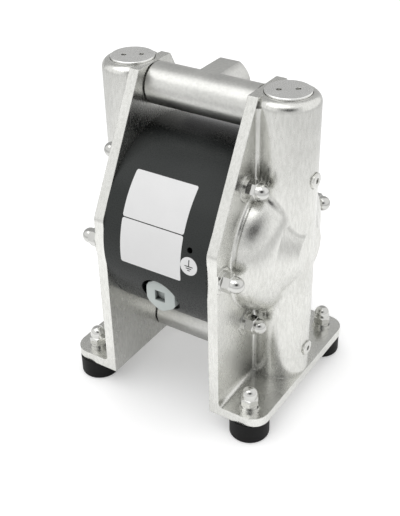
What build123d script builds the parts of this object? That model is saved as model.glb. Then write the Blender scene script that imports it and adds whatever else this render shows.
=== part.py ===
from build123d import *
import math
import os

# Air operated double diaphragm pump. Millimetres. X runs along the diaphragm shaft, -Y is the air
# inlet side, +Y the side of both pipe ports, +Z is up. Z = 0 is the plane under the four feet.

# Centre block
AXIS_Z = 140.7            # height of the diaphragm shaft
BLOCK_R = 77.5
BLOCK_HALF = 46.0         # half the width of the block, where the housings start

# Housing castings
PLATE_T = 8.5
PLATE_MARGIN = 7.6        # from the clamp bolts to the plate's upright edges
PLATE_TOP_Z = 263.3
PLATE_TOP_HALF = 20.3
KINK_Z = 163.0            # height at which the plate starts to narrow
KINK_R = 9.0
BASE_T = 8.0
BASE_LEDGE = 0.6          # how far the foot flange stands out past the column
BASE_CORNER_R = 14.5
BASE_ROOT_R = 4.0
COLUMN_OFFSET = 20.7      # from the block's face to the column's axis
COLUMN_R = 23.9
COLUMN_BORE_R = 15.0
COLUMN_ROOT_R = 3.0
COLUMN_FLOOR_T = 9.6
CHAMBER_MARGIN = 11.4     # from the clamp bolts to the pumping chamber's outside
CHAMBER_DRUM_L = 4.0
CHAMBER_SINK = 1.2        # how far the chamber's end lies inside the column's outline
CHAMBER_END_R = 18.0
CHAMBER_BLEND_R = 7.0     # between the chamber and the column
CHAMBER_WALL = 5.0
CONE_START = 0.68         # share of the chamber's depth taken up by its round shoulder
CONE_ANGLE = 60.0         # of the blunt cone, from the shaft axis
BULGE_ALONG = 0.72        # where the round shoulder's middle point lies, as shares of its
BULGE_ACROSS = 0.60       # length and height
CHAMBER_ROOT_R = 3.0
NUT_PAD_R = 10.5
NUT_PAD_H = 1.0

# Rubber feet and their M8 fasteners
FOOT_R = 15.9
FOOT_H = 17.4
FOOT_INSET_X = 16.8       # from the flange's edges to a foot's axis
FOOT_INSET_Y = 14.1
FOOT_EDGE_R = 2.0

# M8 hardware
BOLT_R = 4.0
BOLT_INSET = 9.1          # from the block's skin to the clamp bolts
BOLT_COUNT = 6
WASHER_R = 8.0
WASHER_T = 1.6
SPRING_WASHER_R = 7.2
SPRING_WASHER_T = 2.0
SPRING_WASHER_GAP = 1.5
NUT_FLATS = 13.0
NUT_HEX_H = 6.5
NUT_H = 15.0
NUT_DOME_R = 6.2
NUT_THREAD_DEPTH = 11.0
NUT_CHAMFER_ANGLE = 30.0
HOLE_CLEARANCE = 0.4      # radial, round every bolt

# Manifolds
DISCHARGE_Z = 247.1
SUCTION_Z = 38.0
TUBE_R = 16.3
TUBE_BORE_R = 8.5
TUBE_GAP = 1.0            # open groove between the tube's end and the housing
SPIGOT_R = 12.4
SPIGOT_L = 3.2
PORT_R = 18.0
PORT_FLAT_H = 16.0        # half the distance across the port's two spanner flats
PORT_END_Y = 32.0
PORT_THREAD_R = 12.06     # minor radius of a G 3/4 pipe thread
PORT_THREAD_DEPTH = 16.0
PORT_MOUTH_CHAMFER = 1.2
PASSAGE_R = 7.5

# Valves
SUCTION_SEAT_Z = 45.6     # underside of each seat ring
DISCHARGE_SEAT_Z = 197.6
SEAT_H = 7.0
SEAT_BORE_R = 6.8
SEAT_MOUTH_R = 11.0
BALL_R = 10.5
BALL_LIFT = 5.0
BALL_GAP = 0.1            # between ball and seat with the valve closed
CAGE_BORE_R = 11.4
CAGE_WINDOW = 12.0
CAGE_BAR = 4.0
CAGE_BAR_T = 3.0
SCREW_HEAD_R = 6.0
SCREW_HEAD_H = 2.4
SCREW_R = 2.5
SCREW_SOCKET_FLATS = 4.0
SCREW_SOCKET_DEPTH = 1.4
SCREW_BITE = 2.0          # how far a locking screw reaches into its seat ring
SCREW_ABOVE_SEAT = 2.6
SCREW_FLAT_DEPTH = 0.6    # spot face under the screw head

# Bore plugs
PLUG_R = 17.1
PLUG_T = 8.8
PLUG_PROUD = 1.7
PLUG_HOLE_R = 2.0
PLUG_HOLE_SPACING = 13.5
PLUG_HOLE_DEPTH = 4.0
PLUG_HOLE_TURN = 34.0
PLUG_CHAMFER = 0.5
PLUG_EDGE_GAP = 0.35      # open ring round the plug's head
PLUG_EDGE_DEPTH = 2.5

# Diaphragms and shaft
DIAPHRAGM_T = 3.0
DIAPHRAGM_MARGIN = 8.4    # from the clamp bolts to the diaphragm's rim
CLAMP_WIDTH = 8.0
CONVOLUTION_H = 4.0
CONVOLUTION_GAP = 1.0     # flat left between the convolution and what clamps the diaphragm
INNER_PLATE_R = 31.0
INNER_PLATE_T = 5.0
OUTER_PLATE_R = 30.0
OUTER_PLATE_RIM_T = 2.5
OUTER_PLATE_HUB_T = 6.0
OUTER_PLATE_HUB_R = 13.3
SHAFT_R = 9.0
SHAFT_END_R = 6.0
SHAFT_STROKE = 6.0        # each way from the middle
SHAFT_NUT_FLATS = 19.0
SHAFT_NUT_H = 8.0
SHAFT_NUT_BITE = 1.5      # thread standing out past the nut
CHAMBER_FLOOR_GAP = 1.0   # left between a plate and the air chamber floor at full stroke
BUSH_R = 13.0
BUSH_L = 12.0

# Air valve and pilot valve
VALVE_Z = 108.5
VALVE_BORE_R = 13.0
SPOOL_R = 9.0
SPOOL_NECK_R = 5.5
SPOOL_HALF = 21.0
SPOOL_TRAVEL = 4.0
SLEEVE_HALF = 26.5
BELT_DEPTH = 1.0          # of the grooves round the sleeve
END_CAP_T = 4.0
SNAP_RING_T = 1.0
SNAP_RING_DEPTH = 1.0
PILOT_RISE = 26.0         # pilot valve axis above the shaft axis
PILOT_R = 5.0
PILOT_BORE_R = 8.0
PILOT_TRAVEL = 3.0
PILOT_NECK_R = 3.5
STROKE_END_GAP = 0.3      # left between a plate and the pilot pin at full stroke

# Air inlet, exhaust and earth hole in the block's skin
RECESS_R = 16.5
RECESS_DEPTH = 17.5
AIR_THREAD_R = 8.3
AIR_PASSAGE_R = 5.0
CAP_R = 14.0
CAP_FLATS = 26.0
CAP_SINK = 6.0            # cap's face below the block's skin
CAP_CROWN = 1.2
CAP_CROWN_REACH = 0.55    # share of the cap's radius at which its crown has lost a quarter
CAP_SOCKET = 9.0
CAP_SOCKET_DEPTH = 4.0
SILENCER_FLATS = 22.5
SILENCER_CAP_R = 10.4
SILENCER_SINK = 8.0
EARTH_X = 31.0
EARTH_ANGLE = 15.9
EARTH_R = 2.3
EARTH_DEPTH = 9.0

# Fits
RUNNING_FIT = 0.05        # radial clearance of parts that slide or turn
PUSH_FIT = 0.03           # radial clearance of parts that stay put
CUT_MARGIN = 1.0          # how far a cut runs past the face it opens
RING_R = 0.9              # O-ring cord radius

# Worked out from the sizes above
BOLT_CIRCLE_R = BLOCK_R - BOLT_INSET
PLATE_X = BLOCK_HALF + PLATE_T
PLATE_HALF = BOLT_CIRCLE_R + PLATE_MARGIN
COLUMN_X = BLOCK_HALF + COLUMN_OFFSET
BASE_X = COLUMN_X + COLUMN_R + BASE_LEDGE
FOOT_X = BASE_X - FOOT_INSET_X
FOOT_Y = PLATE_HALF - FOOT_INSET_Y
CHAMBER_R = BOLT_CIRCLE_R - CHAMBER_MARGIN
CHAMBER_SHOULDER_X = PLATE_X + CHAMBER_DRUM_L
CHAMBER_END_X = COLUMN_X + COLUMN_R - CHAMBER_SINK
DIAPHRAGM_R = BOLT_CIRCLE_R - DIAPHRAGM_MARGIN
CLAMP_INNER_R = DIAPHRAGM_R - CLAMP_WIDTH
PLUG_TOP_Z = PLATE_TOP_Z + PLUG_PROUD
PLUG_SEAT_Z = PLUG_TOP_Z - PLUG_T
RECESS_FLOOR_Y = BLOCK_R - RECESS_DEPTH
CAP_FACE_Y = BLOCK_R - CAP_SINK
SILENCER_FACE_Y = BLOCK_R - SILENCER_SINK
FLANGE_Z = FOOT_H + BASE_T
RIM_T = DIAPHRAGM_T / 2
PLATE_FACE_X = BLOCK_HALF - RIM_T
SHAFT_SHOULDER_X = PLATE_FACE_X - INNER_PLATE_T
AIR_FLOOR_X = SHAFT_SHOULDER_X - SHAFT_STROKE - CHAMBER_FLOOR_GAP
PAD_X = PLATE_X + NUT_PAD_H
PILOT_HALF = SHAFT_SHOULDER_X - SHAFT_STROKE + PILOT_TRAVEL - STROKE_END_GAP
SHOULDER_R = COLUMN_R - PLUG_R
SEAT_CONE_H = SEAT_MOUTH_R - SEAT_BORE_R
BALL_ABOVE_SEAT = SEAT_H - SEAT_MOUTH_R + BALL_R * math.sqrt(2) + BALL_GAP
CAGE_TOP = BALL_ABOVE_SEAT + BALL_R + BALL_LIFT + BALL_GAP + CAGE_BAR_T
SPIGOT_RING_X = BLOCK_HALF + SPIGOT_L / 2
PLUG_RING_Z = PLUG_SEAT_Z + 3 * RING_R
NUT_FACE_X = BLOCK_HALF + RIM_T + OUTER_PLATE_HUB_T
SNAP_RING_LOW_X = SLEEVE_HALF + 2 * PUSH_FIT + END_CAP_T
SIDES = {"left": -1, "right": 1}
SEAT_HEIGHTS = {"suction": SUCTION_SEAT_Z, "discharge": DISCHARGE_SEAT_Z}


def along_x(radius, x_low, x_high, y=0.0, z=0.0):
    """Cylinder on an axis parallel to X."""
    plane = Plane(origin=(x_low, y, z), x_dir=(0, 1, 0), z_dir=(1, 0, 0))
    return extrude(plane * Circle(radius), x_high - x_low)


def along_y(radius, y_low, y_high, x=0.0, z=0.0):
    """Cylinder on an axis parallel to Y."""
    plane = Plane(origin=(x, y_low, z), x_dir=(1, 0, 0), z_dir=(0, 1, 0))
    return extrude(plane * Circle(radius), y_high - y_low)


def along_z(radius, z_low, z_high, x=0.0, y=0.0):
    """Cylinder on an upright axis."""
    return extrude(Plane(origin=(x, y, z_low)) * Circle(radius), z_high - z_low)


def turned_on_x(points, z=AXIS_Z):
    """Solid turned about an axis parallel to X, from (x, radius) corners."""
    outline = Polyline(*[(x, 0, z + r) for x, r in points], close=True)
    return revolve(make_face(outline), Axis((0, 0, z), (1, 0, 0)))


def turned_on_z(points, x=0.0, y=0.0):
    """Solid turned about an upright axis, from (radius, z) corners."""
    outline = Polyline(*[(x + r, y, z) for r, z in points], close=True)
    return revolve(make_face(outline), Axis((x, y, 0), (0, 0, 1)))


def hexagon_prism(flats, height):
    """Upright hexagonal bar standing on Z = 0."""
    return extrude(RegularPolygon(flats / 2, 6, major_radius=False), height)


def o_ring(radius, plane):
    """Round-section ring whose section is centred at the given radius in a plane."""
    return plane * Torus(radius, RING_R)


def mirrored(solids, plane=Plane.YZ):
    """The solids and their mirror images."""
    return list(solids) + [mirror(solid, about=plane) for solid in solids]


def bolt_places():
    """Y and Z of the clamp bolts round the shaft axis."""
    step = 2 * math.pi / BOLT_COUNT
    angles = [index * step for index in range(BOLT_COUNT)]
    return [(-BOLT_CIRCLE_R * math.cos(a), AXIS_Z + BOLT_CIRCLE_R * math.sin(a)) for a in angles]


def foot_places():
    """X and Y of the four feet."""
    return [(x, y) for x in (-FOOT_X, FOOT_X) for y in (-FOOT_Y, FOOT_Y)]


# ---- Housing castings ------------------------------------------------------------------------

def plate_form(thickness):
    """Slab with the side plate's outline, starting at the block's face."""
    corners = [
        (-PLATE_HALF, FOOT_H), (-PLATE_HALF, KINK_Z), (-PLATE_TOP_HALF, PLATE_TOP_Z),
        (PLATE_TOP_HALF, PLATE_TOP_Z), (PLATE_HALF, KINK_Z), (PLATE_HALF, FOOT_H),
    ]
    face = make_face(Polyline(*corners, close=True))
    kinks = face.vertices().filter_by(lambda v: abs(v.Y - KINK_Z) < PUSH_FIT)
    return extrude(Plane.YZ.offset(BLOCK_HALF) * fillet(kinks, KINK_R), thickness)


def side_plate():
    """Upright plate that narrows towards its top, with the foot flange turned outwards."""
    plate = plate_form(PLATE_T)
    length = BASE_X - BLOCK_HALF
    flange = Pos(BLOCK_HALF + length / 2, 0, FOOT_H + BASE_T / 2) * Box(length, 2 * PLATE_HALF, BASE_T)
    outer = flange.edges().filter_by(Axis.Z).sort_by(Axis.X)[-2:]
    plate += fillet(outer, BASE_CORNER_R)
    root = plate.edges().filter_by(Axis.Y)
    root = root.filter_by(lambda e: abs(e.center().X - PLATE_X) + abs(e.center().Z - FLANGE_Z) < PUSH_FIT)
    return fillet(root, BASE_ROOT_R)


def column_section():
    """Plan of the column cut off at the block's face, with its roots rounded into the plate."""
    strip = Pos(BLOCK_HALF + PLATE_T / 2, 0) * Rectangle(PLATE_T, 2 * COLUMN_R + 6 * COLUMN_ROOT_R)
    section = strip + Pos(COLUMN_X, 0) * Circle(COLUMN_R)
    section &= Pos(BLOCK_HALF + COLUMN_X, 0) * Rectangle(2 * COLUMN_X, 4 * COLUMN_R)
    roots = section.vertices().filter_by(lambda v: abs(v.X - PLATE_X) < PUSH_FIT and abs(v.Y) < COLUMN_R)
    return fillet(roots, COLUMN_ROOT_R)


def column_stem(section, low, high):
    """Upright bar with the given plan."""
    return extrude(Pos(0, 0, low) * section, high - low)


def column_shoulder(low):
    """Top of the column with its rounded shoulder."""
    bend = PLATE_TOP_Z - SHOULDER_R
    middle = SHOULDER_R * math.sqrt(0.5)
    outer = COLUMN_X + COLUMN_R
    outline = Line((COLUMN_X, 0, low), (outer, 0, low))
    outline += Line((outer, 0, low), (outer, 0, bend))
    outline += ThreePointArc(
        (outer, 0, bend),
        (COLUMN_X + PLUG_R + middle, 0, bend + middle),
        (COLUMN_X + PLUG_R, 0, PLATE_TOP_Z),
    )
    outline += Line((COLUMN_X + PLUG_R, 0, PLATE_TOP_Z), (COLUMN_X, 0, PLATE_TOP_Z))
    outline += Line((COLUMN_X, 0, PLATE_TOP_Z), (COLUMN_X, 0, low))
    top = revolve(make_face(outline), Axis((COLUMN_X, 0, 0), (0, 0, 1)))
    beyond_block = Box(2 * COLUMN_X, 4 * COLUMN_R, 2 * PLATE_TOP_Z)
    return top & Pos(BLOCK_HALF + COLUMN_X, 0, PLATE_TOP_Z) * beyond_block


def chamber_form(inset, x_start):
    """Solid of the pumping chamber: a short drum, a round shoulder and a blunt cone."""
    drum_r = CHAMBER_R - inset
    end_r = CHAMBER_END_R - inset / 3
    end_x = CHAMBER_END_X - inset
    shoulder_x = CHAMBER_SHOULDER_X - inset / 2
    cone_x = shoulder_x + CONE_START * (end_x - shoulder_x)
    cone_r = end_r + (end_x - cone_x) * math.tan(math.radians(CONE_ANGLE))
    bulge_x = shoulder_x + BULGE_ALONG * (cone_x - shoulder_x)
    bulge_r = cone_r + BULGE_ACROSS * (drum_r - cone_r)
    outline = Line((x_start, 0, AXIS_Z), (x_start, 0, AXIS_Z + drum_r))
    outline += Line((x_start, 0, AXIS_Z + drum_r), (shoulder_x, 0, AXIS_Z + drum_r))
    outline += ThreePointArc(
        (shoulder_x, 0, AXIS_Z + drum_r),
        (bulge_x, 0, AXIS_Z + bulge_r),
        (cone_x, 0, AXIS_Z + cone_r),
    )
    outline += Line((cone_x, 0, AXIS_Z + cone_r), (end_x, 0, AXIS_Z + end_r))
    outline += Line((end_x, 0, AXIS_Z + end_r), (end_x, 0, AXIS_Z))
    outline += Line((end_x, 0, AXIS_Z), (x_start, 0, AXIS_Z))
    return revolve(make_face(outline), Axis((0, 0, AXIS_Z), (1, 0, 0)))


def chamber_root():
    """Ring that rounds the chamber's drum into the plate."""
    inside = CHAMBER_R - CHAMBER_ROOT_R
    bend = CHAMBER_ROOT_R * (1 - math.sqrt(0.5))
    low = PLATE_X - CHAMBER_ROOT_R
    outer = CHAMBER_R + CHAMBER_ROOT_R
    outline = Line((low, 0, AXIS_Z + inside), (low, 0, AXIS_Z + outer))
    outline += Line((low, 0, AXIS_Z + outer), (PLATE_X, 0, AXIS_Z + outer))
    outline += ThreePointArc(
        (PLATE_X, 0, AXIS_Z + outer),
        (PLATE_X + bend, 0, AXIS_Z + CHAMBER_R + bend),
        (PLATE_X + CHAMBER_ROOT_R, 0, AXIS_Z + CHAMBER_R),
    )
    high = PLATE_X + CHAMBER_ROOT_R
    outline += Line((high, 0, AXIS_Z + CHAMBER_R), (high, 0, AXIS_Z + inside))
    outline += Line((high, 0, AXIS_Z + inside), (low, 0, AXIS_Z + inside))
    return revolve(make_face(outline), Axis((0, 0, AXIS_Z), (1, 0, 0)))


def chamber_and_column():
    """Pumping chamber and valve column, run smoothly into each other."""
    low = FLANGE_Z - BASE_T / 2
    bend = PLATE_TOP_Z - SHOULDER_R
    cut = Pos(BLOCK_HALF + COLUMN_X, 0) * Rectangle(2 * COLUMN_X, 4 * COLUMN_R)
    column = column_stem(Pos(COLUMN_X, 0) * Circle(COLUMN_R) & cut, low, bend)
    pair = column + chamber_form(0, BLOCK_HALF)
    creases = pair.edges().filter_by(GeomType.BSPLINE)
    end_lines = pair.edges().filter_by(GeomType.LINE)
    creases += end_lines.filter_by(lambda e: abs(e.center().X - CHAMBER_END_X) < PUSH_FIT)
    return fillet(creases, CHAMBER_BLEND_R)


def casting_outside():
    """Outer form of the housing: plate, flange, chamber and column."""
    low = FLANGE_Z - BASE_T / 2
    bend = PLATE_TOP_Z - SHOULDER_R
    body = side_plate() + chamber_and_column()
    body += chamber_root()
    body += column_stem(column_section(), low, bend) & plate_form(2 * COLUMN_X)
    return body + column_shoulder(bend - SHOULDER_R)


def housing():
    """Right-hand housing: plate, foot flange, chamber and valve column in one casting."""
    body = casting_outside()
    for y, z in bolt_places():
        body += along_x(NUT_PAD_R, PLATE_X - PLATE_T / 2, PAD_X, y, z) & plate_form(2 * COLUMN_X)
    body -= chamber_form(CHAMBER_WALL, BLOCK_HALF)
    body -= along_x(DIAPHRAGM_R + PUSH_FIT, BLOCK_HALF - RIM_T, BLOCK_HALF + RIM_T, z=AXIS_Z)
    body -= along_z(COLUMN_BORE_R, FOOT_H + COLUMN_FLOOR_T, PLUG_SEAT_Z, COLUMN_X)
    body -= along_z(PLUG_R + RUNNING_FIT, PLUG_SEAT_Z, PLATE_TOP_Z + BASE_T, COLUMN_X)
    rim_low = PLATE_TOP_Z - PLUG_EDGE_DEPTH
    body -= along_z(PLUG_R + PLUG_EDGE_GAP, rim_low, PLATE_TOP_Z + BASE_T, COLUMN_X)
    for z in (SUCTION_Z, DISCHARGE_Z):
        body -= along_x(SPIGOT_R + RUNNING_FIT, BLOCK_HALF - BASE_T, BLOCK_HALF + SPIGOT_L + PUSH_FIT, z=z)
        body -= along_x(PASSAGE_R, BLOCK_HALF, COLUMN_X, z=z)
    for seat_z in SEAT_HEIGHTS.values():
        screw_z = seat_z + SCREW_ABOVE_SEAT
        flat_x = COLUMN_X + COLUMN_R - SCREW_FLAT_DEPTH
        body -= along_x(SCREW_HEAD_R + HOLE_CLEARANCE, flat_x, BASE_X + BASE_T, z=screw_z)
        body -= along_x(SCREW_R + PUSH_FIT, COLUMN_X, flat_x, z=screw_z)
    for y, z in bolt_places():
        body -= along_x(BOLT_R + HOLE_CLEARANCE, BLOCK_HALF - BASE_T, PAD_X + BASE_T, y, z)
    for y in (-FOOT_Y, FOOT_Y):
        body -= along_z(BOLT_R + HOLE_CLEARANCE, FOOT_H - BASE_T, FLANGE_Z + BASE_T, FOOT_X, y)
    return body


# ---- Centre block ----------------------------------------------------------------------------

def skin_recess(sign):
    """Round recess sunk into the block's skin, front (-1) or back (+1), with its air hole."""
    low, high = sorted((sign * RECESS_FLOOR_Y, sign * (BLOCK_R + BASE_T)))
    recess = along_y(RECESS_R, low, high, z=VALVE_Z)
    low, high = sorted((sign * (VALVE_BORE_R + BASE_T), sign * RECESS_FLOOR_Y))
    recess += along_y(AIR_THREAD_R, low, high, z=VALVE_Z)
    low, high = sorted((0, sign * (VALVE_BORE_R + BASE_T)))
    return recess + along_y(AIR_PASSAGE_R, low, high, z=VALVE_Z)


def earth_hole():
    """Small radial hole for the earthing screw, in the block's front."""
    plane = Plane(origin=(EARTH_X, 0, AXIS_Z), x_dir=(1, 0, 0), z_dir=(0, -1, 0))
    plane = plane.rotated((-EARTH_ANGLE, 0, 0))
    return extrude(plane.offset(BLOCK_R - EARTH_DEPTH) * Circle(EARTH_R), 2 * EARTH_DEPTH)


def centre_block():
    """Moulded air block between the housings, with its two air chambers and the valve bores."""
    body = along_x(BLOCK_R, -BLOCK_HALF, BLOCK_HALF, z=AXIS_Z)
    for sign in SIDES.values():
        low, high = sorted((sign * PLATE_FACE_X, sign * (BLOCK_HALF + BASE_T)))
        body -= along_x(DIAPHRAGM_R + PUSH_FIT, low, high, z=AXIS_Z)
        taper = CLAMP_INNER_R - (PLATE_FACE_X - AIR_FLOOR_X) / 2
        corners = [(AIR_FLOOR_X, 0), (AIR_FLOOR_X, taper), (PLATE_FACE_X, CLAMP_INNER_R), (PLATE_FACE_X, 0)]
        body -= turned_on_x([(sign * x, r) for x, r in corners])
        low, high = sorted((sign * (AIR_FLOOR_X - BUSH_L), sign * AIR_FLOOR_X))
        body -= along_x(BUSH_R + PUSH_FIT, low, high, z=AXIS_Z)
        low, high = sorted((sign * SNAP_RING_LOW_X, sign * (SNAP_RING_LOW_X + SNAP_RING_T)))
        body -= along_x(VALVE_BORE_R + SNAP_RING_DEPTH, low, high, z=VALVE_Z)
    body -= along_x(SHAFT_R + HOLE_CLEARANCE, -AIR_FLOOR_X, AIR_FLOOR_X, z=AXIS_Z)
    body -= along_x(VALVE_BORE_R, -AIR_FLOOR_X, AIR_FLOOR_X, z=VALVE_Z)
    body -= along_x(PILOT_BORE_R, -AIR_FLOOR_X, AIR_FLOOR_X, z=AXIS_Z + PILOT_RISE)
    body -= skin_recess(-1)
    body -= skin_recess(1)
    body -= earth_hole()
    for y, z in bolt_places():
        body -= along_x(BOLT_R + HOLE_CLEARANCE, -BLOCK_HALF, BLOCK_HALF, y, z)
    return body


# ---- Manifolds -------------------------------------------------------------------------------

def manifold(z):
    """Cross tube with a spigot at each end and one threaded port boss facing +Y."""
    end_x = BLOCK_HALF - TUBE_GAP
    body = along_x(TUBE_R, -end_x, end_x, z=z)
    boss = along_y(PORT_R, 0, PORT_END_Y, z=z)
    boss &= Pos(0, PORT_END_Y / 2, z) * Box(2 * PORT_R, PORT_END_Y, 2 * PORT_FLAT_H)
    body += boss
    body += along_x(SPIGOT_R, -BLOCK_HALF - SPIGOT_L, BLOCK_HALF + SPIGOT_L, z=z)
    for sign in SIDES.values():
        middle = sign * SPIGOT_RING_X
        groove = along_x(SPIGOT_R + RING_R, middle - RING_R, middle + RING_R, z=z)
        body -= groove - along_x(SPIGOT_R - 2 * RING_R, middle - RING_R, middle + RING_R, z=z)
    body -= along_x(TUBE_BORE_R, -BLOCK_HALF - SPIGOT_L, BLOCK_HALF + SPIGOT_L, z=z)
    body -= along_y(TUBE_BORE_R, 0, PORT_END_Y, z=z)
    body -= along_y(PORT_THREAD_R, PORT_END_Y - PORT_THREAD_DEPTH, PORT_END_Y, z=z)
    mouth = body.edges().filter_by(GeomType.CIRCLE)
    mouth = mouth.filter_by(lambda e: abs(e.radius - PORT_THREAD_R) < PUSH_FIT)
    mouth = mouth.filter_by(lambda e: e.center().Y > PORT_END_Y - PUSH_FIT)
    return chamfer(mouth, PORT_MOUTH_CHAMFER)


def manifold_rings(z):
    """The two O-rings on a manifold's spigots."""
    radius = SPIGOT_R - RING_R
    return [o_ring(radius, Plane(origin=(x, 0, z), z_dir=(1, 0, 0))) for x in (-SPIGOT_RING_X, SPIGOT_RING_X)]


# ---- Valves ----------------------------------------------------------------------------------

def valve_seat(z):
    """Ring with a conical mouth, notched for its locking screw."""
    outer = COLUMN_BORE_R - PUSH_FIT
    top = z + SEAT_H
    corners = [
        (SEAT_BORE_R, z), (outer, z), (outer, top), (SEAT_MOUTH_R, top), (SEAT_BORE_R, top - SEAT_CONE_H),
    ]
    ring = turned_on_z(corners, COLUMN_X)
    notch_x = COLUMN_X + outer - SCREW_BITE
    return ring - along_x(SCREW_R + RUNNING_FIT, notch_x, BASE_X, z=z + SCREW_ABOVE_SEAT)


def ball_cage(z):
    """Four-legged cage with a cross bar that stops the ball's lift."""
    low = z + SEAT_H
    high = z + CAGE_TOP
    cage = along_z(COLUMN_BORE_R - PUSH_FIT, low, high, COLUMN_X)
    cage -= along_z(CAGE_BORE_R, low, high, COLUMN_X)
    window = Box(4 * COLUMN_BORE_R, CAGE_WINDOW, high - low - 2 * CAGE_BAR_T)
    for turn in (45, 135):
        cage -= Pos(COLUMN_X, 0, (low + high) / 2) * Rot(0, 0, turn) * window
        bar = Rot(0, 0, turn) * Box(2 * CAGE_BORE_R + CUT_MARGIN, CAGE_BAR, CAGE_BAR_T)
        cage += Pos(COLUMN_X, 0, high - CAGE_BAR_T / 2) * bar
    return cage


def valve_ball(side, z):
    """Ball resting on its seat."""
    return Pos(SIDES[side] * COLUMN_X, 0, z + BALL_ABOVE_SEAT) * Sphere(BALL_R)


def seat_screw(z):
    """Low round-headed socket screw that locks a seat ring from outside."""
    under_head = COLUMN_X + COLUMN_R - SCREW_FLAT_DEPTH
    tip = COLUMN_X + COLUMN_BORE_R - SCREW_BITE
    height = z + SCREW_ABOVE_SEAT
    head = along_x(SCREW_HEAD_R, under_head, under_head + SCREW_HEAD_H, z=height)
    head = fillet(head.edges().sort_by(Axis.X)[-1], SCREW_HEAD_H / 3)
    socket = hexagon_prism(SCREW_SOCKET_FLATS, SCREW_SOCKET_DEPTH + CUT_MARGIN)
    socket_x = under_head + SCREW_HEAD_H - SCREW_SOCKET_DEPTH
    head -= Plane(origin=(socket_x, 0, height), z_dir=(1, 0, 0)) * socket
    return head + along_x(SCREW_R, tip + PUSH_FIT, under_head, z=height)


def bore_plug():
    """Round plug that closes a column, turned with a two-pin spanner."""
    plug = along_z(PLUG_R, PLUG_SEAT_Z, PLUG_TOP_Z)
    plug = chamfer(plug.edges().sort_by(Axis.Z)[-1], PLUG_CHAMFER)
    groove = along_z(PLUG_R + RING_R, PLUG_RING_Z - RING_R, PLUG_RING_Z + RING_R)
    plug -= groove - along_z(PLUG_R - 2 * RING_R, PLUG_RING_Z - RING_R, PLUG_RING_Z + RING_R)
    for place in (-PLUG_HOLE_SPACING / 2, PLUG_HOLE_SPACING / 2):
        hole = along_z(PLUG_HOLE_R, PLUG_TOP_Z - PLUG_HOLE_DEPTH, PLUG_TOP_Z + CUT_MARGIN, place)
        plug -= Rot(0, 0, PLUG_HOLE_TURN) * hole
    return plug


# ---- Fasteners and feet ----------------------------------------------------------------------

def washer(radius, thickness):
    """Flat ring lying on Z = 0."""
    return along_z(radius, 0, thickness) - along_z(BOLT_R + HOLE_CLEARANCE / 2, 0, thickness)


def spring_washer():
    """Split ring lying on Z = 0."""
    ring = washer(SPRING_WASHER_R, SPRING_WASHER_T)
    slot = Box(2 * SPRING_WASHER_R, SPRING_WASHER_GAP, 4 * SPRING_WASHER_T)
    return ring - Pos(SPRING_WASHER_R, 0, 0) * slot


def acorn_nut():
    """Domed nut standing on Z = 0 with its blind thread downwards."""
    corner_r = NUT_FLATS / math.sqrt(3)
    shoulder_z = NUT_HEX_H - (corner_r - NUT_DOME_R) * math.tan(math.radians(NUT_CHAMFER_ANGLE))
    corners = [(0, 0), (corner_r, 0), (corner_r, shoulder_z), (NUT_DOME_R, NUT_HEX_H), (0, NUT_HEX_H)]
    nut = hexagon_prism(NUT_FLATS, NUT_HEX_H) & turned_on_z(corners)
    middle_z = NUT_H - NUT_DOME_R
    nut += along_z(NUT_DOME_R, NUT_HEX_H, middle_z)
    upper_half = Pos(0, 0, middle_z + NUT_DOME_R / 2) * Box(NUT_H, NUT_H, NUT_DOME_R)
    nut += Pos(0, 0, middle_z) * Sphere(NUT_DOME_R) & upper_half
    return nut - along_z(BOLT_R + PUSH_FIT, 0, NUT_THREAD_DEPTH)


def outward(x, y, z):
    """Plane at a bolt's outer end whose normal points away from the block."""
    return Plane(origin=(x, y, z), x_dir=(0, 1, 0), z_dir=(math.copysign(1, x), 0, 0))


def clamp_hardware():
    """Washers, acorn nuts and through studs of the bolt circle."""
    ends = [(sign * PAD_X, y, z) for sign in SIDES.values() for y, z in bolt_places()]
    washers = [outward(*end) * washer(WASHER_R, WASHER_T) for end in ends]
    nuts = [outward(*end).offset(WASHER_T) * acorn_nut() for end in ends]
    reach = PAD_X + NUT_THREAD_DEPTH
    studs = [along_x(BOLT_R, -reach, reach, y, z) for y, z in bolt_places()]
    return washers, nuts, studs


def foot_hardware():
    """Feet with their studs, washers, spring washers and acorn nuts."""
    spring_z = FLANGE_Z + WASHER_T
    nut_z = spring_z + SPRING_WASHER_T
    places = [Pos(x, y, 0) for x, y in foot_places()]
    stud_low = FOOT_H / 3
    rubber = along_z(FOOT_R, 0, FOOT_H)
    rubber = fillet(rubber.edges().sort_by(Axis.Z)[0], FOOT_EDGE_R)
    rubber -= along_z(BOLT_R + PUSH_FIT, stud_low, FOOT_H)
    stud = along_z(BOLT_R, stud_low, nut_z + NUT_THREAD_DEPTH - WASHER_T)
    return {
        "rubber_feet": [place * rubber for place in places],
        "foot_studs": [place * stud for place in places],
        "foot_washers": [place * Pos(0, 0, FLANGE_Z) * washer(WASHER_R, WASHER_T) for place in places],
        "foot_spring_washers": [place * Pos(0, 0, spring_z) * spring_washer() for place in places],
        "foot_acorn_nuts": [place * Pos(0, 0, nut_z) * acorn_nut() for place in places],
    }


# ---- Diaphragms and shaft --------------------------------------------------------------------

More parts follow.
